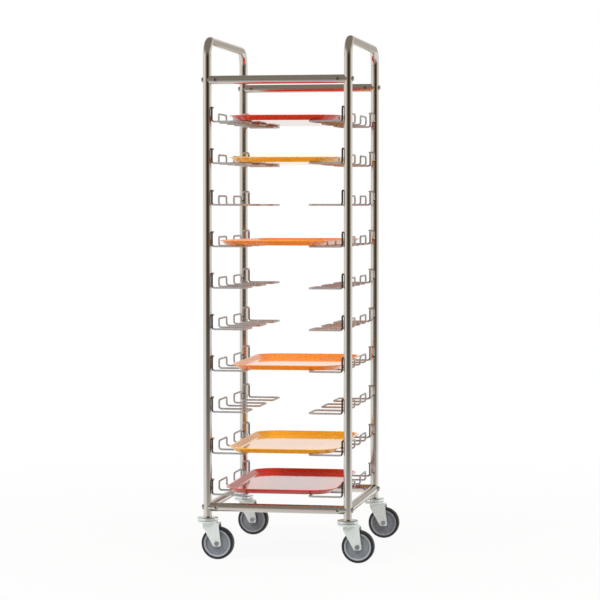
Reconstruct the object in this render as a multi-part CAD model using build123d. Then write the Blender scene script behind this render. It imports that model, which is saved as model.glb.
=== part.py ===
from build123d import *
from math import atan2, cos, degrees, pi, sin
import os

# A single-column tray trolley: two bent tube side frames, four bolted crossbars,
# ten pairs of wire racks, four swivel castors and six loose serving trays.
# Millimetres, +Z up, the front faces -Y, the origin is on the floor below the middle.

# Side frames and crossbars, round stainless tube
HEIGHT = 1643.0
POST_PITCH_X = 447.0
POST_PITCH_Y = 560.0
TUBE_D = 26.9
TUBE_WALL = 1.5
FOOT_Z = 133.0
HANDLE_BEND_R = 50.0
TOP_BAR_Z = 1505.0
BOTTOM_BAR_Z = 164.0
SADDLE_GAP = 0.1

# Crossbar bolts and the barrel nuts that they pull on
BOLT_D = 6.0
BOLT_HOLE_D = 6.6
BOLT_HEAD_D = 16.0
BOLT_HEAD_PROUD = 5.0
BOLT_HEAD_SKIRT = 3.0
BOLT_DOME_R = 4.0
BOLT_SOCKET_AF = 5.0
BOLT_SOCKET_DEPTH = 2.8
BOLT_PAST_NUT = 6.0
NUT_D = 10.0
NUT_HOLE_D = 10.4
NUT_INSET = 30.0
NUT_RECESS = 7.0
NUT_BACK_RECESS = 1.0
NUT_BORE_D = 6.2
NUT_SLOT_W = 1.6
NUT_SLOT_DEPTH = 1.5

# Wire racks, one bent wire each
LEVELS = 10
LOWEST_ROD_Z = 205.0
LEVEL_PITCH = 130.0
WIRE_D = 6.0
HOOK_INSET = 16.6
LOOP_INSET = 13.5
ROD_REACH = 121.5
RODS = 6
ROD_OVERHANG = 8.0
HOOK_SETBACK = 18.0
HOOK_RISE = 44.5
HOOK_TIP_RISE = 18.0
HOOK_TIP_DEPTH = 2.0
LOOP_RISE = 28.0
TIP_BEND_R = 5.0
HOOK_BEND_R = 7.9
FOOT_BEND_R = 8.0
END_BEND_R = 10.0
LOOP_BEND_R = 9.0
SLOT_CLEARANCE = 0.1
SLOT_DROP = 6.0

# Serving trays, loose on the racks
TRAY_WIDTH = 354.0
TRAY_LENGTH = 595.0
TRAY_HEIGHT = 16.0
TRAY_WALL = 2.4
TRAY_LIP = 6.0
TRAY_WALL_RUN = 14.0
TRAY_BASE_R = 60.0
TRAY_INSIDE_FILLET = 3.0
TRAY_UNDER_FILLET = 2.0
TRAY_LIP_FILLET = 1.1
TRAY_RIM_FILLET = 1.5
TRAY_SEAT_GAP = 0.3
# level: x, y and turn in degrees, as the trays were pushed in
TRAY_PLACES = {1: (0.5, -15.0, 4.5), 2: (0.0, -15.0, 4.5), 4: (-4.5, -15.0, -3.6),
               7: (14.0, 5.0, 2.0), 9: (8.5, -10.0, 1.3), 10: (-5.5, 11.0, 1.2)}

# Castors
WHEEL_D = 102.0
TRAIL = 33.0
TYRE_THICKNESS = 8.0
TYRE_WIDTH = 30.0
TREAD_EDGE_R = 5.0
RIM_WIDTH = 26.0
RIM_DEPTH = 6.0
WEB_WIDTH = 17.0
HUB_D = 29.0
HUB_WIDTH = 35.6
SLEEVE_D = 12.0
AXLE_D = 8.0
AXLE_HOLE_D = 8.4
SLEEVE_BORE_D = 8.2
HEX_AF = 13.0
HEX_T = 5.3
AXLE_PAST_NUT = 2.0
RUNNING_CLEARANCE = 0.06
LEG_INNER_Y = 18.5
LEG_T = 2.5
LEG_TOP_BACK = -12.0
LEG_TOP_FRONT = 38.5
LEG_TOP_DEPTH = 12.0
LEG_TOE_R = 6.0
LEG_TOE_SPREAD = 14.0
LEG_TOE_DROP = 3.5
LEG_BEND_R = 2.4
CROWN_D = 63.0
CROWN_T = 7.0
CROWN_EDGE_R = 2.0
SADDLE_T = 3.0
SADDLE_TOP_Z = 115.0
CUP_D = 66.0
CUP_T = 3.5
CUP_WALL = 2.5
CUP_EDGE_R = 3.0
CUP_RIM_Z = 123.0
KINGPIN_D = 12.0
RIVET_D = 18.0
RIVET_T = 3.0
RIVET_GAP = 0.5
STEM_D = 11.0
STEM_LENGTH = 22.0
PLUG_WALL_GAP = 0.1
PLUG_FOOT_GAP = 1.0
BALLS = 12
BALL_CIRCLE_R = 20.0
BALL_GAP = 0.1

# Worked-out values
POST_X = POST_PITCH_X / 2
POST_Y = POST_PITCH_Y / 2
TUBE_R = TUBE_D / 2
BORE_R = TUBE_R - TUBE_WALL
WIRE_R = WIRE_D / 2
AXLE_Z = WHEEL_D / 2
CROWN_TOP_Z = SADDLE_TOP_Z + CROWN_T
LEG_OUTER_Y = LEG_INNER_Y + LEG_T
SIDES = {"left": -1, "right": 1}
ENDS = {"front": -1, "rear": 1}
CORNERS = {f"{end}_{side}": (sx * POST_X, sy * POST_Y)
           for end, sy in ENDS.items() for side, sx in SIDES.items()}


def rod_z(level):
    """Height of a level's rods, counted from the top level down."""
    return LOWEST_ROD_Z + (LEVELS - level) * LEVEL_PITCH


def bar_along(path, diameter):
    """A solid round bar swept along a path."""
    start = Plane(origin=path @ 0, z_dir=path % 0)
    return sweep(start * Circle(diameter / 2), path=path)


def cylinder_x(radius, length):
    return Rot(0, 90, 0) * Cylinder(radius, length)


def cylinder_y(radius, length):
    return Rot(90, 0, 0) * Cylinder(radius, length)


def post_saddles(axis):
    """Cutters that shape a bar's two ends to the round posts."""
    reach = Vector(*axis)
    post = Cylinder(TUBE_R + SADDLE_GAP, 2 * TUBE_D)
    return [Pos(*(reach * sign)) * post for sign in (-1, 1)]


# Side frames: an inverted U of tube, drilled for the bolts and slotted for the racks

def hook_slot(post_sign):
    """Slot for one rack tip, through a post's inner wall, centred on the tip's axis."""
    width = WIRE_D + 2 * SLOT_CLEARANCE
    height = width + SLOT_DROP
    face = Pos(0, 0, -SLOT_DROP / 2) * Plane.XZ * SlotOverall(height, width, rotation=90)
    return Pos(0, post_sign * (POST_Y - TUBE_R), 0) * extrude(face, TUBE_R / 2, both=True)


def side_frame():
    """One side frame in the plane x = 0."""
    top = HEIGHT - TUBE_R
    path = FilletPolyline((0, -POST_Y, FOOT_Z), (0, -POST_Y, top), (0, POST_Y, top),
                          (0, POST_Y, FOOT_Z), radius=HANDLE_BEND_R)
    tube = bar_along(path, TUBE_D) - bar_along(path, 2 * BORE_R)
    drill = cylinder_x(BOLT_HOLE_D / 2, 2 * TUBE_D)
    cuts = [Pos(0, sign * POST_Y, z) * drill for sign in (-1, 1) for z in (TOP_BAR_Z, BOTTOM_BAR_Z)]
    for sign in (-1, 1):
        slot = hook_slot(sign)
        cuts += [Pos(0, 0, rod_z(level) + HOOK_TIP_RISE) * slot for level in range(1, LEVELS + 1)]
    return tube - cuts


def bottom_rail():
    """Tube welded between a side frame's posts, its ends coped to the posts and the crossbars."""
    tube = cylinder_y(TUBE_R, POST_PITCH_Y) - cylinder_y(BORE_R, POST_PITCH_Y)
    bar = cylinder_x(TUBE_R + SADDLE_GAP, 2 * TUBE_D)
    return tube - post_saddles((0, POST_Y, 0)) - [Pos(0, sign * POST_Y, 0) * bar for sign in (-1, 1)]


# Crossbars: tube with saddled ends and a cross hole for a barrel nut near each end

def crossbar():
    tube = cylinder_x(TUBE_R, POST_PITCH_X) - cylinder_x(BORE_R, POST_PITCH_X)
    hole = cylinder_y(NUT_HOLE_D / 2, 2 * TUBE_D)
    nut_x = POST_X - NUT_INSET
    return tube - post_saddles((POST_X, 0, 0)) - [Pos(sign * nut_x, 0, 0) * hole for sign in (-1, 1)]


def crossbar_bolt():
    """Domed bolt for the right-hand end: its axis is X, and the post's axis is at x = 0."""
    length = TUBE_R + BOLT_HEAD_PROUD
    head = Pos(TUBE_R - BOLT_HEAD_SKIRT, 0, 0) * Rot(0, 90, 0) * Cylinder(
        BOLT_HEAD_D / 2, BOLT_HEAD_PROUD + BOLT_HEAD_SKIRT, align=(Align.CENTER, Align.CENTER, Align.MIN))
    head = fillet(head.edges().sort_by(Axis.X)[-1], BOLT_DOME_R)
    head -= Cylinder(TUBE_R + SADDLE_GAP, 2 * TUBE_D)
    shank_end = -NUT_INSET - BOLT_PAST_NUT
    shank_start = length - BOLT_SOCKET_DEPTH
    shank = Pos((shank_start + shank_end) / 2, 0, 0) * cylinder_x(BOLT_D / 2, shank_start - shank_end)
    socket = Pos(length, 0, 0) * Rot(0, -90, 0) * extrude(
        RegularPolygon(BOLT_SOCKET_AF / 2, 6, major_radius=False), BOLT_SOCKET_DEPTH)
    return head + shank - socket


def barrel_nut():
    """Slotted barrel nut across a crossbar: its axis is Y, and the bolt's axis is X."""
    front = -TUBE_R + NUT_RECESS
    back = TUBE_R - NUT_BACK_RECESS
    nut = Pos(0, (front + back) / 2, 0) * cylinder_y(NUT_D / 2, back - front)
    slot = Pos(0, front + NUT_SLOT_DEPTH / 2, 0) * Box(NUT_D, NUT_SLOT_DEPTH, NUT_SLOT_W)
    return nut - cylinder_x(NUT_BORE_D / 2, 2 * NUT_D) - slot


# Wire racks: hook, rod pairs joined by upright loops, hook, all in one bent wire

def hook_points(end_sign):
    """Corner points of one hook, from its tip in the post's slot round the post to its upright."""
    upright_x = POST_X - HOOK_INSET
    tip_y = end_sign * (POST_Y - HOOK_TIP_DEPTH)
    back_y = end_sign * (POST_Y - HOOK_SETBACK)
    upright_y = end_sign * (POST_Y + ROD_OVERHANG)
    return [(POST_X, tip_y, HOOK_TIP_RISE), (POST_X, back_y, HOOK_TIP_RISE), (POST_X, back_y, HOOK_RISE),
            (upright_x, back_y, HOOK_RISE), (upright_x, upright_y, HOOK_RISE), (upright_x, upright_y, 0)]


def rack_route():
    """Corner points and bend radii of a right-hand rack whose rods lie at z = 0."""
    loop_x = POST_X - LOOP_INSET
    end_x = POST_X - ROD_REACH
    first_y = -POST_Y - ROD_OVERHANG
    step = -2 * first_y / (RODS - 1)
    rod_ys = [first_y + i * step for i in range(RODS)]
    hook_radii = [TIP_BEND_R, HOOK_BEND_R, HOOK_BEND_R, HOOK_BEND_R, FOOT_BEND_R]
    points = hook_points(-1)
    radii = hook_radii
    for i in range(0, RODS, 2):
        near_y, far_y = rod_ys[i], rod_ys[i + 1]
        points += [(end_x, near_y, 0), (end_x, far_y, 0)]
        radii = radii + [END_BEND_R, END_BEND_R]
        if i + 2 < RODS:
            next_y = rod_ys[i + 2]
            points += [(loop_x, far_y, 0), (loop_x, far_y, LOOP_RISE), (loop_x, next_y, LOOP_RISE),
                       (loop_x, next_y, 0)]
            radii = radii + [FOOT_BEND_R, LOOP_BEND_R, LOOP_BEND_R, FOOT_BEND_R]
    return points + hook_points(1)[::-1], radii + hook_radii[::-1]


def rack():
    points, radii = rack_route()
    path = FilletPolyline(*points, radius=radii)
    wire = bar_along(path, WIRE_D)
    share = wire.volume / (pi * WIRE_R ** 2 * path.length)
    print(f"rack wire {path.length:.0f} mm long, volume over section times length {share:.4f}")
    return wire


# Serving trays: flat base, sloping wall and a level lip

def tray():
    """A tray whose underside is at z = 0."""
    base = RectangleRounded(TRAY_WIDTH - 2 * (TRAY_LIP + TRAY_WALL_RUN),
                            TRAY_LENGTH - 2 * (TRAY_LIP + TRAY_WALL_RUN), TRAY_BASE_R)
    rim = RectangleRounded(TRAY_WIDTH, TRAY_LENGTH, TRAY_BASE_R + TRAY_WALL_RUN + TRAY_LIP)
    wall_rise = TRAY_HEIGHT - TRAY_WALL
    slope = -degrees(atan2(TRAY_WALL_RUN, wall_rise))
    body = extrude(base, wall_rise, taper=slope)
    body += Pos(0, 0, wall_rise) * extrude(rim, TRAY_WALL)
    body -= Pos(0, 0, TRAY_WALL) * extrude(base, wall_rise, taper=slope)
    floor_edges = body.faces().filter_by(Plane.XY).group_by(Axis.Z)[1].edges()
    body = fillet(floor_edges, TRAY_INSIDE_FILLET)
    body = fillet(body.edges().group_by(Axis.Z)[0], TRAY_UNDER_FILLET)
    top = body.faces().sort_by(Axis.Z)[-1]
    body = fillet(top.outer_wire().edges(), TRAY_LIP_FILLET)
    top = body.faces().sort_by(Axis.Z)[-1]
    return fillet(top.inner_wires()[0].edges(), TRAY_RIM_FILLET)


# Castors, each modelled with its swivel axis at x = y = 0 and trailing to +X

def castor_head():
    """Stem, race cup and riveted kingpin, fixed under a post."""
    king_r = KINGPIN_D / 2
    rivet_top = SADDLE_TOP_Z - SADDLE_T - RIVET_GAP
    ceiling = FOOT_Z - CUP_T
    outline = [(0, rivet_top - RIVET_T), (RIVET_D / 2, rivet_top - RIVET_T), (RIVET_D / 2, rivet_top),
               (king_r, rivet_top), (king_r, ceiling), (CUP_D / 2 - CUP_WALL, ceiling),
               (CUP_D / 2 - CUP_WALL, CUP_RIM_Z), (CUP_D / 2, CUP_RIM_Z), (CUP_D / 2, FOOT_Z),
               (STEM_D / 2, FOOT_Z), (STEM_D / 2, FOOT_Z + STEM_LENGTH), (0, FOOT_Z + STEM_LENGTH)]
    head = revolve(Plane.XZ * make_face(Polyline(*outline, close=True)), Axis.Z)
    top_rim = head.edges().filter_by(GeomType.CIRCLE).filter_by(
        lambda edge: abs(edge.radius - CUP_D / 2) < SADDLE_GAP).sort_by(Axis.Z)[-1]
    return fillet(top_rim, CUP_EDGE_R)


def castor_fork():
    """Pressed fork: a race crown, a saddle plate and two tapering legs."""
    crown = Pos(0, 0, SADDLE_TOP_Z) * Cylinder(
        CROWN_D / 2, CROWN_T, align=(Align.CENTER, Align.CENTER, Align.MIN))
    crown = fillet(crown.edges().sort_by(Axis.Z)[-1], CROWN_EDGE_R)
    middle = (LEG_TOP_BACK + LEG_TOP_FRONT) / 2
    width = LEG_TOP_FRONT - LEG_TOP_BACK
    saddle = Pos(middle, 0, SADDLE_TOP_Z - SADDLE_T / 2) * Box(width, 2 * LEG_OUTER_Y, SADDLE_T)
    shoulder = Pos(middle, SADDLE_TOP_Z - LEG_TOP_DEPTH / 2) * Rectangle(width, LEG_TOP_DEPTH)
    toe_corner = Pos(TRAIL, AXLE_Z - LEG_TOE_DROP) * Circle(LEG_TOE_R)
    toe = [Pos(sign * LEG_TOE_SPREAD / 2, 0) * toe_corner for sign in (-1, 1)]
    outline = make_hull(shoulder.edges() + toe[0].edges() + toe[1].edges())
    leg = extrude(Plane.XZ * outline, LEG_T)
    legs = Pos(0, LEG_OUTER_Y, 0) * leg + Pos(0, -LEG_INNER_Y, 0) * leg
    body = saddle + legs
    shoulders = body.edges().filter_by(Axis.X).group_by(Axis.Z)[-1]
    body = fillet(shoulders, LEG_BEND_R) + crown
    king_hole = Cylinder(KINGPIN_D / 2 + RUNNING_CLEARANCE, 4 * CROWN_TOP_Z)
    axle_hole = Pos(TRAIL, 0, AXLE_Z) * cylinder_y(AXLE_HOLE_D / 2, 4 * LEG_OUTER_Y)
    return body - king_hole - axle_hole


def castor_axle():
    """Axle bolt, the sleeve that it clamps between the legs, and its nut."""
    hexagon = RegularPolygon(HEX_AF / 2, 6, major_radius=False)
    block = Rot(90, 0, 0) * extrude(hexagon, HEX_T / 2, both=True)
    hex_y = LEG_OUTER_Y + HEX_T / 2
    end_y = LEG_OUTER_Y + HEX_T + AXLE_PAST_NUT
    shank = Pos(0, (end_y - LEG_OUTER_Y) / 2, 0) * cylinder_y(AXLE_D / 2, end_y + LEG_OUTER_Y)
    bolt = shank + Pos(0, -hex_y, 0) * block
    bore = cylinder_y(SLEEVE_BORE_D / 2, 4 * LEG_OUTER_Y)
    sleeve = cylinder_y(SLEEVE_D / 2, 2 * LEG_INNER_Y) - bore
    nut = Pos(0, hex_y, 0) * block - bore
    return [Pos(TRAIL, 0, AXLE_Z) * piece for piece in (bolt, sleeve, nut)]


def turned_about_axle(outline):
    """Solid of revolution about the wheel's axis from (radius, y) points."""
    face = make_face(Polyline(*[(radius, y, 0) for radius, y in outline], close=True))
    return Pos(TRAIL, 0, AXLE_Z) * revolve(face, Axis.Y)


def wheel_centre():
    bore_r = SLEEVE_D / 2 + RUNNING_CLEARANCE
    rim_r = WHEEL_D / 2 - TYRE_THICKNESS - SADDLE_GAP
    half = [(bore_r, HUB_WIDTH / 2), (HUB_D / 2, HUB_WIDTH / 2), (HUB_D / 2, WEB_WIDTH / 2),
            (rim_r - RIM_DEPTH, WEB_WIDTH / 2), (rim_r - RIM_DEPTH, RIM_WIDTH / 2), (rim_r, RIM_WIDTH / 2)]
    other = [(radius, -y) for radius, y in reversed(half)]
    return turned_about_axle(half + other)


def tyre():
    inner_r = WHEEL_D / 2 - TYRE_THICKNESS
    outer_r = WHEEL_D / 2
    edge = TYRE_WIDTH / 2
    ring = turned_about_axle([(inner_r, edge), (outer_r, edge), (outer_r, -edge), (inner_r, -edge)])
    tread_edges = ring.edges().filter_by(GeomType.CIRCLE).filter_by(
        lambda circle: abs(circle.radius - outer_r) < SADDLE_GAP)
    return fillet(tread_edges, TREAD_EDGE_R)


def foot_plug():
    """Bush fixed in a post's foot, which the castor's stem screws into."""
    height = STEM_LENGTH - PLUG_FOOT_GAP
    plug = Cylinder(BORE_R - PLUG_WALL_GAP, height) - Cylinder(STEM_D / 2 + PLUG_WALL_GAP, height)
    return Pos(0, 0, FOOT_Z + PLUG_FOOT_GAP + height / 2) * plug


def race_balls():
    """Ring of balls between the crown and the cup."""
    gap = FOOT_Z - CUP_T - CROWN_TOP_Z
    ball = Sphere(gap / 2 - BALL_GAP)
    turns = [2 * pi * i / BALLS for i in range(BALLS)]
    return [Pos(BALL_CIRCLE_R * cos(turn), BALL_CIRCLE_R * sin(turn), CROWN_TOP_Z + gap / 2) * ball
            for turn in turns]


# Placing the pieces and writing one file per node

def crossbar_fasteners():
    """The eight bolts and eight barrel nuts, at the ends of the four crossbars."""
    bolt = crossbar_bolt()
    nut = barrel_nut()
    bolts, nuts = [], []
    for sy in ENDS.values():
        for z in (TOP_BAR_Z, BOTTOM_BAR_Z):
            bolts += [Pos(POST_X, sy * POST_Y, z) * bolt, Pos(-POST_X, sy * POST_Y, z) * Rot(0, 0, 180) * bolt]
            nuts += [Pos(sign * (POST_X - NUT_INSET), sy * POST_Y, z) * nut for sign in (-1, 1)]
    return Compound(children=bolts), Compound(children=nuts)


def all_nodes():
    nodes = {}
    frame = side_frame()
    rail = bottom_rail()
    for side, sx in SIDES.items():
        nodes[f"{side}_side_frame"] = Pos(sx * POST_X, 0, 0) * frame
        nodes[f"{side}_bottom_rail"] = Pos(sx * POST_X, 0, BOTTOM_BAR_Z) * rail
    bar = crossbar()
    for end, sy in ENDS.items():
        nodes[f"{end}_top_crossbar"] = Pos(0, sy * POST_Y, TOP_BAR_Z) * bar
        nodes[f"{end}_bottom_crossbar"] = Pos(0, sy * POST_Y, BOTTOM_BAR_Z) * bar
    nodes["crossbar_bolts"], nodes["barrel_nuts"] = crossbar_fasteners()
    right_rack = rack()
    left_rack = mirror(right_rack, about=Plane.YZ)
    for level in range(1, LEVELS + 1):
        nodes[f"left_rack_{level:02d}"] = Pos(0, 0, rod_z(level)) * left_rack
        nodes[f"right_rack_{level:02d}"] = Pos(0, 0, rod_z(level)) * right_rack
    one_tray = tray()
    for level, (x, y, turn) in TRAY_PLACES.items():
        seat_z = rod_z(level) + WIRE_R + TRAY_SEAT_GAP
        nodes[f"tray_{level:02d}"] = Pos(x, y, seat_z) * Rot(0, 0, turn) * one_tray
    castor = {"castor_head": castor_head(), "fork": castor_fork(), "wheel": wheel_centre(), "tyre": tyre()}
    axle, plug, balls = castor_axle(), foot_plug(), race_balls()
    for corner, (x, y) in CORNERS.items():
        for name, piece in castor.items():
            nodes[f"{corner}_{name}"] = Pos(x, y, 0) * piece
        nodes[f"{corner}_axle"] = Compound(children=[Pos(x, y, 0) * piece for piece in axle])
    spots = CORNERS.values()
    nodes["post_foot_plugs"] = Compound(children=[Pos(x, y, 0) * plug for x, y in spots])
    nodes["swivel_balls"] = Compound(children=[Pos(x, y, 0) * ball for x, y in spots for ball in balls])
    return nodes


os.makedirs("parts", exist_ok=True)
for node_name, node_shape in all_nodes().items():
    export_step(node_shape, f"parts/{node_name}.step")
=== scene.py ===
from math import cos, pi, sin

import bpy
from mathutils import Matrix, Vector


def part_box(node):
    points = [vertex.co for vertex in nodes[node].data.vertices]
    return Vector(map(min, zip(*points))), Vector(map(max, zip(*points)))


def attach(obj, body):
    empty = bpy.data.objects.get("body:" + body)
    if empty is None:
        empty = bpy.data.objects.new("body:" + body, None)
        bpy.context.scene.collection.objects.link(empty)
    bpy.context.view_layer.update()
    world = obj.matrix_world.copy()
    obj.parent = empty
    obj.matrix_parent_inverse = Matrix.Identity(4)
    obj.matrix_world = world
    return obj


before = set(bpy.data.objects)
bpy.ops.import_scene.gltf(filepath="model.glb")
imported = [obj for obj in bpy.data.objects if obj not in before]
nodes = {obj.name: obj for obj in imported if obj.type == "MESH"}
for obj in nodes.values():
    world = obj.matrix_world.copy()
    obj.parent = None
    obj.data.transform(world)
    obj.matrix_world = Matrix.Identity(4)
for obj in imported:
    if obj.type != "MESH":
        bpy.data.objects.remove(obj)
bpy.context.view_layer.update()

# Side frames: each is one 26.9 mm stainless tube bent into an inverted U, whose top is the handle.
# The tube was drawn, bent on a former and then belt-polished, so it mirrors the room in long
# streaks that the polishing lines soften a little.

MM = 0.001
SIDES = ("left", "right")
LINE_GAP = 1.6 * MM
LINE_RUN = 60 * MM

# A mix node's sockets share their names, so its two colours and its result go by their places.
COLOUR_A = 6
COLOUR_B = 7
MIXED_COLOUR = 2


def linear(hex_colour):
    """An sRGB hex colour as linear red, green, blue and full alpha."""
    channels = [int(hex_colour[i:i + 2], 16) / 255 for i in (1, 3, 5)]
    straight = [c / 12.92 if c <= 0.04045 else ((c + 0.055) / 1.055) ** 2.4 for c in channels]
    return (*straight, 1.0)


def add_node(tree, kind, inputs, **settings):
    """Adds a shader node, sets it up, and fills or links its inputs."""
    node = tree.nodes.new(kind)
    for name, value in settings.items():
        setattr(node, name, value)
    for name, value in inputs.items():
        if isinstance(value, bpy.types.NodeSocket):
            tree.links.new(value, node.inputs[name])
        else:
            node.inputs[name].default_value = value
    return node


def start_material(name):
    """A new material with its tree and its shader."""
    material = bpy.data.materials.new(name)
    material.use_nodes = True
    tree = material.node_tree
    return material, tree, tree.nodes["Principled BSDF"]


def dress(node_names, material):
    """Gives CAD nodes a material in place of their plain one."""
    for name in node_names:
        nodes[name].data.materials.clear()
        nodes[name].data.materials.append(material)


def polished_stainless(name, line_steps, finest, dullest):
    """Belt-polished stainless steel: mirror-like, warm grey, with lines across the tube.

    The real lines are about 0.1 mm apart. They are drawn coarser, so that they show at all.
    """
    material, tree, shader = start_material(name)
    shader.inputs["Metallic"].default_value = 1.0
    place = add_node(tree, "ShaderNodeTexCoord", {})
    stretch = add_node(tree, "ShaderNodeMapping", {
        "Vector": place.outputs["Object"], "Scale": [1 / step for step in line_steps]})
    lines = add_node(tree, "ShaderNodeTexNoise", {
        "Vector": stretch.outputs["Vector"], "Scale": 1.0, "Detail": 2.0})
    sheen = add_node(tree, "ShaderNodeMapRange", {
        "Value": lines.outputs["Fac"], "From Min": 0.3, "From Max": 0.7,
        "To Min": finest, "To Max": dullest})
    tone = add_node(tree, "ShaderNodeMix", {
        "Factor": lines.outputs["Fac"], COLOUR_A: linear("#d0cac1"), COLOUR_B: linear("#d8d3cb")},
        data_type="RGBA")
    tree.links.new(tone.outputs[MIXED_COLOUR], shader.inputs["Base Color"])
    tree.links.new(sheen.outputs["Result"], shader.inputs["Roughness"])
    return material


upright_tube = polished_stainless(
    "polished_stainless_upright", (LINE_RUN, LINE_RUN, LINE_GAP), finest=0.12, dullest=0.16)
dress([f"{side}_side_frame" for side in SIDES], upright_tube)


# Bottom rails: a short tube on each side, welded between the posts just above the castors.
# Its ends are coped to the posts and the crossbars, and a bead of weld runs round each joint.

WELD_R = 1.5 * MM
WELD_RIPPLES = 36
WELD_RIPPLE_DEPTH = 0.15
WELD_STEPS = 144
WELD_SIDES = 8
TINT_WIDTH = 6 * MM

lengthwise_tube = polished_stainless(
    "polished_stainless_lengthwise", (LINE_RUN, LINE_GAP, LINE_RUN), finest=0.17, dullest=0.185)
dress([f"{side}_bottom_rail" for side in SIDES], lengthwise_tube)


def tig_weld():
    """Weld bead in stainless steel: satin, with grey and straw heat tints left by the torch."""
    material, tree, shader = start_material("tig_weld_stainless")
    shader.inputs["Metallic"].default_value = 1.0
    shader.inputs["Roughness"].default_value = 0.34
    place = add_node(tree, "ShaderNodeTexCoord", {})
    patches = add_node(tree, "ShaderNodeTexNoise", {
        "Vector": place.outputs["Object"], "Scale": 1 / TINT_WIDTH, "Detail": 3.0})
    tint = add_node(tree, "ShaderNodeValToRGB", {"Fac": patches.outputs["Fac"]})
    tint.color_ramp.elements[0].color = linear("#8d8a86")
    tint.color_ramp.elements[1].color = linear("#c9bfa8")
    tree.links.new(tint.outputs["Color"], shader.inputs["Base Color"])
    return material


def mesh_piece(name, points, faces, material, body):
    """A smooth mesh piece in the row's frame that rides on a body."""
    mesh = bpy.data.meshes.new(name)
    mesh.from_pydata(points, [], faces)
    mesh.validate()
    mesh.materials.append(material)
    mesh.shade_smooth()
    piece = bpy.data.objects.new(name, mesh)
    bpy.context.scene.collection.objects.link(piece)
    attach(piece, body)


def ring_faces(steps, sides):
    """Quads of a closed tube whose points run ring by ring."""
    faces = []
    for i in range(steps):
        for j in range(sides):
            after, beside = (i + 1) % steps, (j + 1) % sides
            faces.append((i * sides + j, i * sides + beside, after * sides + beside, after * sides + j))
    return faces


def weld_points(rail_x, rail_z, post_y, tube_r):
    """A rippled bead along the line where a rail's end meets the post and the crossbar."""
    end = 1 if post_y > 0 else -1
    points = []
    for i in range(WELD_STEPS):
        turn = 2 * pi * i / WELD_STEPS
        reach = tube_r * max(abs(cos(turn)), abs(sin(turn)))
        ripple = 1 - abs(cos(WELD_RIPPLES * turn / 2))
        bead_r = WELD_R * (1 - WELD_RIPPLE_DEPTH * ripple)
        out = Vector((cos(turn), 0, sin(turn)))
        centre = Vector((rail_x, post_y - end * reach, rail_z)) + out * tube_r
        for j in range(WELD_SIDES):
            side = 2 * pi * j / WELD_SIDES
            points.append(centre + out * (bead_r * cos(side)) + Vector((0, bead_r * sin(side), 0)))
    return points


weld_metal = tig_weld()
for side in SIDES:
    low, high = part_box(f"{side}_bottom_rail")
    frame_low, frame_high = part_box(f"{side}_side_frame")
    tube_r = (frame_high.x - frame_low.x) / 2
    for end, post_y in (("front", frame_low.y + tube_r), ("rear", frame_high.y - tube_r)):
        bead = weld_points((low.x + high.x) / 2, (low.z + high.z) / 2, post_y, tube_r)
        mesh_piece(f"{side}_{end}_rail_weld", bead, ring_faces(WELD_STEPS, WELD_SIDES), weld_metal,
                   "frame")


# Crossbars: four tubes that hold the side frames apart, two at the top and two at the bottom.
# Each end is coped to its post and pulled tight by a bolt, so nothing is welded there.

ENDS = ("front", "rear")

crosswise_tube = polished_stainless(
    "polished_stainless_crosswise", (LINE_GAP, LINE_RUN, LINE_RUN), finest=0.25, dullest=0.265)
dress([f"{end}_{level}_crossbar" for end in ENDS for level in ("top", "bottom")], crosswise_tube)


# Bolts and barrel nuts: domed socket bolts through the posts, and slotted cross nuts in the bars.
# They are turned from stainless steel, a little duller than the tube. The plugs in the posts' feet
# and the swivel balls, which hardly show, are given the same look.

SCUFF_WIDTH = 2 * MM


def turned_stainless():
    """Turned stainless steel: bright, with small scuffs that dull it here and there."""
    material, tree, shader = start_material("turned_stainless")
    shader.inputs["Metallic"].default_value = 1.0
    place = add_node(tree, "ShaderNodeTexCoord", {})
    scuffs = add_node(tree, "ShaderNodeTexNoise", {
        "Vector": place.outputs["Object"], "Scale": 1 / SCUFF_WIDTH, "Detail": 4.0})
    dullness = add_node(tree, "ShaderNodeMapRange", {
        "Value": scuffs.outputs["Fac"], "To Min": 0.14, "To Max": 0.34})
    tone = add_node(tree, "ShaderNodeMix", {
        "Factor": scuffs.outputs["Fac"], COLOUR_A: linear("#b3afa9"), COLOUR_B: linear("#cfccc7")},
        data_type="RGBA")
    tree.links.new(tone.outputs[MIXED_COLOUR], shader.inputs["Base Color"])
    tree.links.new(dullness.outputs["Result"], shader.inputs["Roughness"])
    return material


dress(["crossbar_bolts", "barrel_nuts", "post_foot_plugs", "swivel_balls"], turned_stainless())


# Wire racks: each level has a left and a right rack, one 6 mm stainless wire each, hung in the posts.
# The wire was drawn, bent and pickled to a pale satin. Its hooked ends, where they hang in the
# posts, are darkened with painted shade.

DRAW_MARK_WIDTH = 5 * MM
# How far from the trolley's middle the painted shade on the hooks starts and is full.
HOOK_DARK = {"X": (202.5 * MM, 204.5 * MM), "Y": (284 * MM, 286.5 * MM)}


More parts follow.
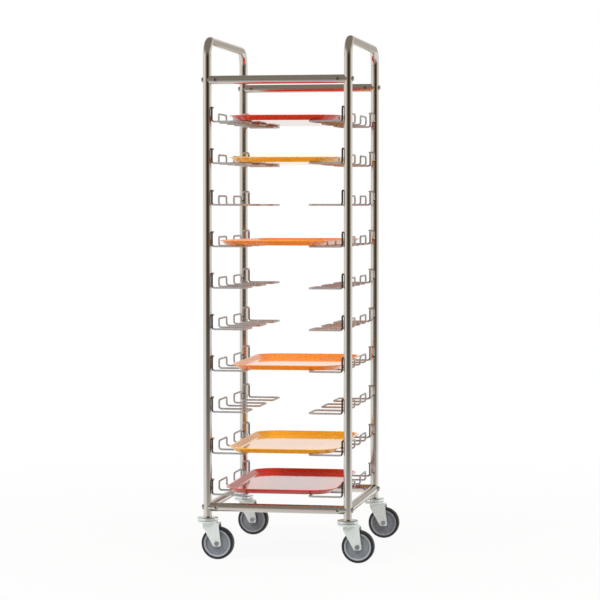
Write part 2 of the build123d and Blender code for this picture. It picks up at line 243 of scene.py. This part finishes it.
def pickled_wire():
    """Pickled stainless wire: pale and satin, faintly uneven, with painted shade on the hooks at both ends.
    """
    material, tree, shader = start_material("pickled_stainless_wire")
    shader.inputs["Metallic"].default_value = 0.65
    place = add_node(tree, "ShaderNodeTexCoord", {})
    drawn = add_node(tree, "ShaderNodeTexNoise", {
        "Vector": place.outputs["Object"], "Scale": 1 / DRAW_MARK_WIDTH, "Detail": 3.0})
    sheen = add_node(tree, "ShaderNodeMapRange", {
        "Value": drawn.outputs["Fac"], "To Min": 0.3, "To Max": 0.42})
    pale = add_node(tree, "ShaderNodeMix", {
        "Factor": drawn.outputs["Fac"], COLOUR_A: linear("#b4b5b6"), COLOUR_B: linear("#c4c5c6")},
        data_type="RGBA")
    parts = add_node(tree, "ShaderNodeSeparateXYZ", {"Vector": place.outputs["Object"]})
    past = []
    for axis, (start, full) in HOOK_DARK.items():
        outward = add_node(tree, "ShaderNodeMath", {0: parts.outputs[axis]}, operation="ABSOLUTE")
        past.append(add_node(tree, "ShaderNodeMapRange", {
            "Value": outward.outputs[0], "From Min": start, "From Max": full}))
    heated = add_node(tree, "ShaderNodeMath", {
        0: past[0].outputs["Result"], 1: past[1].outputs["Result"]}, operation="MINIMUM")
    # Painted shade: the hooks are darkened to a dark brown where they hang in the posts.
    tone = add_node(tree, "ShaderNodeMix", {
        "Factor": heated.outputs[0], COLOUR_A: pale.outputs[MIXED_COLOUR], COLOUR_B: linear("#544a42")},
        data_type="RGBA")
    tree.links.new(tone.outputs[MIXED_COLOUR], shader.inputs["Base Color"])
    tree.links.new(sheen.outputs["Result"], shader.inputs["Roughness"])
    return material


dress([name for name in nodes if "_rack_" in name], pickled_wire())


# Serving trays: shallow moulded trays that lie loose on the rods, in red, yellow and orange.
# They are glossy glass-filled polyester, so their floors mirror the pale room at a low angle.

CLOUD_WIDTH = 60 * MM
WAVE_WIDTH = 25 * MM
WAVE_HEIGHT = 0.1 * MM


def moulded_polyester(name, body_colour, deep_colour):
    """Pressed polyester: a hard gloss skin with slight waves, over colour that clouds a little."""
    material, tree, shader = start_material(name)
    shader.inputs["IOR"].default_value = 1.55
    shader.inputs["Coat Weight"].default_value = 0.4
    shader.inputs["Coat Roughness"].default_value = 0.05
    place = add_node(tree, "ShaderNodeTexCoord", {})
    clouds = add_node(tree, "ShaderNodeTexNoise", {
        "Vector": place.outputs["Object"], "Scale": 1 / CLOUD_WIDTH, "Detail": 4.0})
    waves = add_node(tree, "ShaderNodeTexNoise", {
        "Vector": place.outputs["Object"], "Scale": 1 / WAVE_WIDTH, "Detail": 1.0})
    tone = add_node(tree, "ShaderNodeMix", {
        "Factor": clouds.outputs["Fac"], COLOUR_A: linear(deep_colour), COLOUR_B: linear(body_colour)},
        data_type="RGBA")
    gloss = add_node(tree, "ShaderNodeMapRange", {
        "Value": clouds.outputs["Fac"], "To Min": 0.05, "To Max": 0.1})
    relief = add_node(tree, "ShaderNodeBump", {
        "Height": waves.outputs["Fac"], "Strength": 0.03, "Distance": WAVE_HEIGHT})
    tree.links.new(tone.outputs[MIXED_COLOUR], shader.inputs["Base Color"])
    tree.links.new(gloss.outputs["Result"], shader.inputs["Roughness"])
    tree.links.new(relief.outputs["Normal"], shader.inputs["Normal"])
    return material


dress(["tray_01", "tray_10"], moulded_polyester("red_polyester", "#dc3828", "#d03022"))
dress(["tray_02", "tray_09"], moulded_polyester("yellow_polyester", "#fdbb38", "#fab32e"))
dress(["tray_04", "tray_07"], moulded_polyester("orange_polyester", "#fe9a44", "#fb9036"))


# Castors: a pressed fork that swivels under a race cup, and a wheel of grey plastic and black rubber.
# Fork and cup are zinc-plated steel, bright and faintly green-white. The axle is coloured darker.

CORNERS = [f"{end}_{side}" for end in ENDS for side in SIDES]
CRYSTAL_WIDTH = 3 * MM
GRAIN_WIDTH = 1.2 * MM
BLOOM_WIDTH = 4 * MM
BLOOM_HEIGHT = 0.1 * MM


def bright_zinc(name, deep_colour, pale_colour, bareness, dull, bright):
    """Bright zinc plate: a pale metal under a thin milky film, with crystals that break its shine.

    Where the plate is polished, the film is gone and the bare metal mirrors the room.
    """
    material, tree, shader = start_material(name)
    shader.inputs["Metallic"].default_value = bareness
    place = add_node(tree, "ShaderNodeTexCoord", {})
    crystals = add_node(tree, "ShaderNodeTexVoronoi", {
        "Vector": place.outputs["Object"], "Scale": 1 / CRYSTAL_WIDTH})
    sheen = add_node(tree, "ShaderNodeMapRange", {
        "Value": crystals.outputs["Distance"], "To Min": dull, "To Max": bright})
    tone = add_node(tree, "ShaderNodeMix", {
        "Factor": crystals.outputs["Distance"], COLOUR_A: linear(deep_colour),
        COLOUR_B: linear(pale_colour)}, data_type="RGBA")
    tree.links.new(tone.outputs[MIXED_COLOUR], shader.inputs["Base Color"])
    tree.links.new(sheen.outputs["Result"], shader.inputs["Roughness"])
    return material


def moulded_polyamide(name, deep_colour, body_colour):
    """Injection-moulded grey polyamide: satin, blue-grey, with a fine sparked texture."""
    material, tree, shader = start_material(name)
    shader.inputs["IOR"].default_value = 1.53
    place = add_node(tree, "ShaderNodeTexCoord", {})
    grain = add_node(tree, "ShaderNodeTexNoise", {
        "Vector": place.outputs["Object"], "Scale": 1 / GRAIN_WIDTH, "Detail": 3.0})
    tone = add_node(tree, "ShaderNodeMix", {
        "Factor": grain.outputs["Fac"], COLOUR_A: linear(deep_colour), COLOUR_B: linear(body_colour)},
        data_type="RGBA")
    sheen = add_node(tree, "ShaderNodeMapRange", {
        "Value": grain.outputs["Fac"], "To Min": 0.3, "To Max": 0.5})
    tree.links.new(tone.outputs[MIXED_COLOUR], shader.inputs["Base Color"])
    tree.links.new(sheen.outputs["Result"], shader.inputs["Roughness"])
    return material


def vulcanised_rubber():
    """Vulcanised black rubber: nearly black, with a faint bloom that breaks its low shine."""
    material, tree, shader = start_material("vulcanised_rubber")
    shader.inputs["IOR"].default_value = 1.52
    place = add_node(tree, "ShaderNodeTexCoord", {})
    bloom = add_node(tree, "ShaderNodeTexNoise", {
        "Vector": place.outputs["Object"], "Scale": 1 / BLOOM_WIDTH, "Detail": 5.0})
    tone = add_node(tree, "ShaderNodeMix", {
        "Factor": bloom.outputs["Fac"], COLOUR_A: linear("#161618"), COLOUR_B: linear("#28282b")},
        data_type="RGBA")
    sheen = add_node(tree, "ShaderNodeMapRange", {
        "Value": bloom.outputs["Fac"], "To Min": 0.38, "To Max": 0.62})
    relief = add_node(tree, "ShaderNodeBump", {
        "Height": bloom.outputs["Fac"], "Strength": 0.1, "Distance": BLOOM_HEIGHT})
    tree.links.new(tone.outputs[MIXED_COLOUR], shader.inputs["Base Color"])
    tree.links.new(sheen.outputs["Result"], shader.inputs["Roughness"])
    tree.links.new(relief.outputs["Normal"], shader.inputs["Normal"])
    return material


fork_zinc = bright_zinc("bright_zinc_fork", "#e4eeeb", "#f2f9f7", bareness=0.5, dull=0.5, bright=0.38)
cup_zinc = bright_zinc("polished_zinc_cup", "#d5dcd8", "#e6ebe8", bareness=1.0, dull=0.18, bright=0.1)
axle_zinc = bright_zinc("dark_zinc_axle", "#868f97", "#9ea6ad", bareness=1.0, dull=0.4, bright=0.25)
polyamide = moulded_polyamide("grey_polyamide", "#7a818a", "#90969e")
rubber = vulcanised_rubber()
dress([f"{corner}_fork" for corner in CORNERS], fork_zinc)
dress([f"{corner}_castor_head" for corner in CORNERS], cup_zinc)
dress([f"{corner}_axle" for corner in CORNERS], axle_zinc)
dress([f"{corner}_wheel" for corner in CORNERS], polyamide)
dress([f"{corner}_tyre" for corner in CORNERS], rubber)


# Wheel lips: the rim of each wheel centre is dished on both faces, up to a lip against the tyre.
# It is moulded with the centre, and its slope is coloured paler than the rest as a painted highlight.

LIP_OUTER_R = 42.7 * MM
LIP_INNER_R = 37.1 * MM
LIP_RISE = 1.9 * MM
LIP_EDGE = 0.3 * MM
LIP_SUNK = 0.5 * MM
LIP_SLOPE_STEPS = 5
LIP_STEPS = 96
RIM_HALF_WIDTH = 13 * MM


def lip_section():
    """Radius and rise of the lip's outline: up the outside, over the edge and down the slope."""
    crest_r = LIP_OUTER_R - LIP_EDGE
    slope = []
    for i in range(LIP_SLOPE_STEPS + 1):
        down = i / LIP_SLOPE_STEPS
        slope.append((crest_r + down * (LIP_INNER_R - crest_r), LIP_RISE * (1 - down)))
    outside = [(LIP_OUTER_R, -LIP_SUNK), (LIP_OUTER_R, LIP_RISE - LIP_EDGE)]
    return outside + slope + [(LIP_INNER_R, -LIP_SUNK)]


def lip_points(centre, side):
    """The lip's outline turned about the wheel's axle, on the face to one side."""
    section = lip_section()[::side]
    points = []
    for i in range(LIP_STEPS):
        turn = 2 * pi * i / LIP_STEPS
        out = Vector((cos(turn), 0, sin(turn)))
        for radius, rise in section:
            points.append(centre + out * radius + Vector((0, side * (RIM_HALF_WIDTH + rise), 0)))
    return points


# Painted highlight: the lips get a paler grey polyamide than the wheel centres.
worn_polyamide = moulded_polyamide("worn_polyamide", "#959ba3", "#abb1b7")
for corner in CORNERS:
    low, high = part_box(f"{corner}_wheel")
    for face, side in (("front", -1), ("rear", 1)):
        lip = lip_points((low + high) / 2, side)
        mesh_piece(f"{corner}_{face}_lip", lip, ring_faces(LIP_STEPS, len(lip_section())), worn_polyamide,
                   f"{corner}_rolling_wheel")


# Studio: a pale floor that ends at the back wall, and soft lamps above. Polished metal also mirrors
# the room, which is white at the sides and the back, dim overhead and dark at the front, with a grey
# screen at the back to the right.

FLOOR_HALF_WIDTH = 20.0
FLOOR_BACK = 3.0
SHADOW_NEAR = 0.5
SHADOW_FAR = 3.0
GLOW_NEAR = 0.93
FALL_PER_METRE = 0.8
# The floor's dim wedge reaches 60 degrees to each side of the dark end: this is 1 / cos(60 degrees).
WEDGE_SPREAD = 2.0
DARK_TURN = pi / 7
DARK_END = Vector((sin(DARK_TURN), -cos(DARK_TURN), 0))
SCREEN_TURN = pi / 18
GREY_SCREEN = Vector((sin(SCREEN_TURN), cos(SCREEN_TURN), 0))
SCREEN_EDGE = (0.955, 0.985)
CEILING_EDGE = (0.2, 0.55)
# The walls' colours by the angle from the dark end, in degrees.
WALLS = {25: "#5f5347", 40: "#958c7c", 60: "#dcd6cd", 80: "#ffffff"}
AMBIENT = 0.5
LAMP_SIZE = 2.5
LAMP_TARGET = Vector((0, 0, 0.8))
LAMPS = {
    "key_lamp": (Vector((-2.4, -3.0, 4.6)), 185),
    "fill_lamp": (Vector((2.8, -2.4, 4.2)), 115),
    "back_lamp": (Vector((0.6, 3.2, 4.6)), 80),
}


def studio_floor():
    """Matt white floor that the camera and the polished metal see, with the object's shadow kept.

    In the metal it dims towards the dark end of the room.
    """
    material, tree, shader = start_material("studio_floor")
    shader.inputs["Roughness"].default_value = 0.9
    shader.inputs["Specular IOR Level"].default_value = 0.0
    shader.inputs["Base Color"].default_value = linear("#c8c5bf")
    rays = add_node(tree, "ShaderNodeLightPath", {})
    place = add_node(tree, "ShaderNodeTexCoord", {})
    ahead = add_node(tree, "ShaderNodeVectorMath", {
        0: place.outputs["Object"], 1: DARK_END}, operation="DOT_PRODUCT")
    reach = add_node(tree, "ShaderNodeVectorMath", {0: place.outputs["Object"]}, operation="LENGTH")
    spread = add_node(tree, "ShaderNodeMath", {
        0: ahead.outputs["Value"], 1: WEDGE_SPREAD}, operation="MULTIPLY")
    wedge = add_node(tree, "ShaderNodeMath", {
        0: spread.outputs[0], 1: reach.outputs["Value"]}, operation="SUBTRACT")
    further = add_node(tree, "ShaderNodeMath", {0: wedge.outputs[0], 1: 0.0}, operation="MAXIMUM")
    falling = add_node(tree, "ShaderNodeMath", {
        0: further.outputs[0], 1: FALL_PER_METRE, 2: 1.0}, operation="MULTIPLY_ADD")
    dim = add_node(tree, "ShaderNodeMath", {0: 1.0, 1: falling.outputs[0]}, operation="DIVIDE")
    level = add_node(tree, "ShaderNodeMath", {
        0: rays.outputs["Is Camera Ray"], 1: dim.outputs[0]}, operation="MAXIMUM")
    glow = add_node(tree, "ShaderNodeEmission", {"Color": linear("#ffffff"), "Strength": level.outputs[0]})
    fade = add_node(tree, "ShaderNodeMapRange", {
        "Value": reach.outputs["Value"], "From Min": SHADOW_NEAR, "From Max": SHADOW_FAR,
        "To Min": GLOW_NEAR})
    seen = add_node(tree, "ShaderNodeMath", {
        0: rays.outputs["Is Camera Ray"], 1: rays.outputs["Is Glossy Ray"]}, operation="MAXIMUM")
    share = add_node(tree, "ShaderNodeMath", {
        0: seen.outputs[0], 1: fade.outputs["Result"]}, operation="MULTIPLY")
    both = add_node(tree, "ShaderNodeMixShader", {
        "Fac": share.outputs[0], 1: shader.outputs[0], 2: glow.outputs[0]})
    tree.links.new(both.outputs[0], tree.nodes["Material Output"].inputs["Surface"])
    return material


def soft_lamp(name, place, power):
    """A square lamp that lights the object and doesn't show in polished metal."""
    light = bpy.data.lights.new(name, "AREA")
    light.size = LAMP_SIZE
    light.energy = power
    lamp = bpy.data.objects.new(name, light)
    lamp.location = place
    lamp.rotation_euler = (LAMP_TARGET - place).to_track_quat("-Z", "Y").to_euler()
    lamp.visible_glossy = False
    bpy.context.scene.collection.objects.link(lamp)


def white_room():
    """The room around the studio: white to the camera, and even light on matt surfaces.

    Polished metal sees its walls, its grey screen and its dim ceiling.
    """
    world = bpy.data.worlds.new("white_room")
    world.use_nodes = True
    sky = world.node_tree
    sky.nodes.clear()
    direction = add_node(sky, "ShaderNodeTexCoord", {})
    parts = add_node(sky, "ShaderNodeSeparateXYZ", {"Vector": direction.outputs["Generated"]})
    frontal = add_node(sky, "ShaderNodeVectorMath", {
        0: direction.outputs["Generated"], 1: DARK_END}, operation="DOT_PRODUCT")
    turned = add_node(sky, "ShaderNodeMapRange", {"Value": frontal.outputs["Value"], "From Min": -1.0})
    walls = add_node(sky, "ShaderNodeValToRGB", {"Fac": turned.outputs["Result"]})
    back, front = walls.color_ramp.elements
    back.color = linear("#f8f6f3")
    front.color = linear("#33271c")
    for angle, colour in WALLS.items():
        walls.color_ramp.elements.new((1 + cos(angle * pi / 180)) / 2).color = linear(colour)
    backward = add_node(sky, "ShaderNodeVectorMath", {
        0: direction.outputs["Generated"], 1: GREY_SCREEN}, operation="DOT_PRODUCT")
    screened = add_node(sky, "ShaderNodeMapRange", {
        "Value": backward.outputs["Value"], "From Min": SCREEN_EDGE[0], "From Max": SCREEN_EDGE[1]})
    sides = add_node(sky, "ShaderNodeMix", {
        "Factor": screened.outputs["Result"], COLOUR_A: walls.outputs["Color"],
        COLOUR_B: linear("#bcb8b0")}, data_type="RGBA")
    height = add_node(sky, "ShaderNodeMapRange", {
        "Value": parts.outputs["Z"], "From Min": CEILING_EDGE[0], "From Max": CEILING_EDGE[1]})
    room = add_node(sky, "ShaderNodeMix", {
        "Factor": height.outputs["Result"], COLOUR_A: sides.outputs[MIXED_COLOUR],
        COLOUR_B: linear("#8d877c")}, data_type="RGBA")
    mirrored = add_node(sky, "ShaderNodeBackground", {"Color": room.outputs[MIXED_COLOUR], "Strength": 1.0})
    ambient = add_node(sky, "ShaderNodeBackground", {"Color": linear("#ffffff"), "Strength": AMBIENT})
    white = add_node(sky, "ShaderNodeBackground", {"Color": linear("#ffffff"), "Strength": 1.0})
    rays = add_node(sky, "ShaderNodeLightPath", {})
    seen = add_node(sky, "ShaderNodeMath", {
        0: rays.outputs["Is Camera Ray"], 1: rays.outputs["Is Transmission Ray"]}, operation="MAXIMUM")
    lit = add_node(sky, "ShaderNodeMixShader", {
        "Fac": rays.outputs["Is Glossy Ray"], 1: ambient.outputs[0], 2: mirrored.outputs[0]})
    chosen = add_node(sky, "ShaderNodeMixShader", {
        "Fac": seen.outputs[0], 1: lit.outputs[0], 2: white.outputs[0]})
    add_node(sky, "ShaderNodeOutputWorld", {"Surface": chosen.outputs[0]})
    return world


half = FLOOR_HALF_WIDTH
floor_corners = [(-half, -half, 0), (half, -half, 0), (half, FLOOR_BACK, 0), (-half, FLOOR_BACK, 0)]
floor_mesh = bpy.data.meshes.new("floor")
floor_mesh.from_pydata(floor_corners, [], [(0, 1, 2, 3)])
floor_mesh.materials.append(studio_floor())
floor = bpy.data.objects.new("floor", floor_mesh)
scene = bpy.context.scene
scene.collection.objects.link(floor)

for name, (place, power) in LAMPS.items():
    soft_lamp(name, place, power)
scene.world = white_room()


# Camera: a long lens to the right of the front, a little above the middle of the trolley.
# Its place, aim and focal length come from the fit to the photograph's posts, bars and rods.

PHOTO_FOCAL_PX = 2306
PHOTO_PX = 600
SENSOR_MM = 36
EYE = Vector((1360.3, -7347.6, 1108.5)) * MM
LOOK_AT = Vector((20.3, 3.7, 806.8)) * MM

camera = bpy.data.cameras.new("camera")
camera.sensor_width = SENSOR_MM
camera.lens = PHOTO_FOCAL_PX * SENSOR_MM / PHOTO_PX
eye = bpy.data.objects.new("camera", camera)
eye.location = EYE
eye.rotation_euler = (LOOK_AT - EYE).to_track_quat("-Z", "Y").to_euler()
scene.collection.objects.link(eye)
scene.camera = eye
scene.view_settings.view_transform = "Standard"
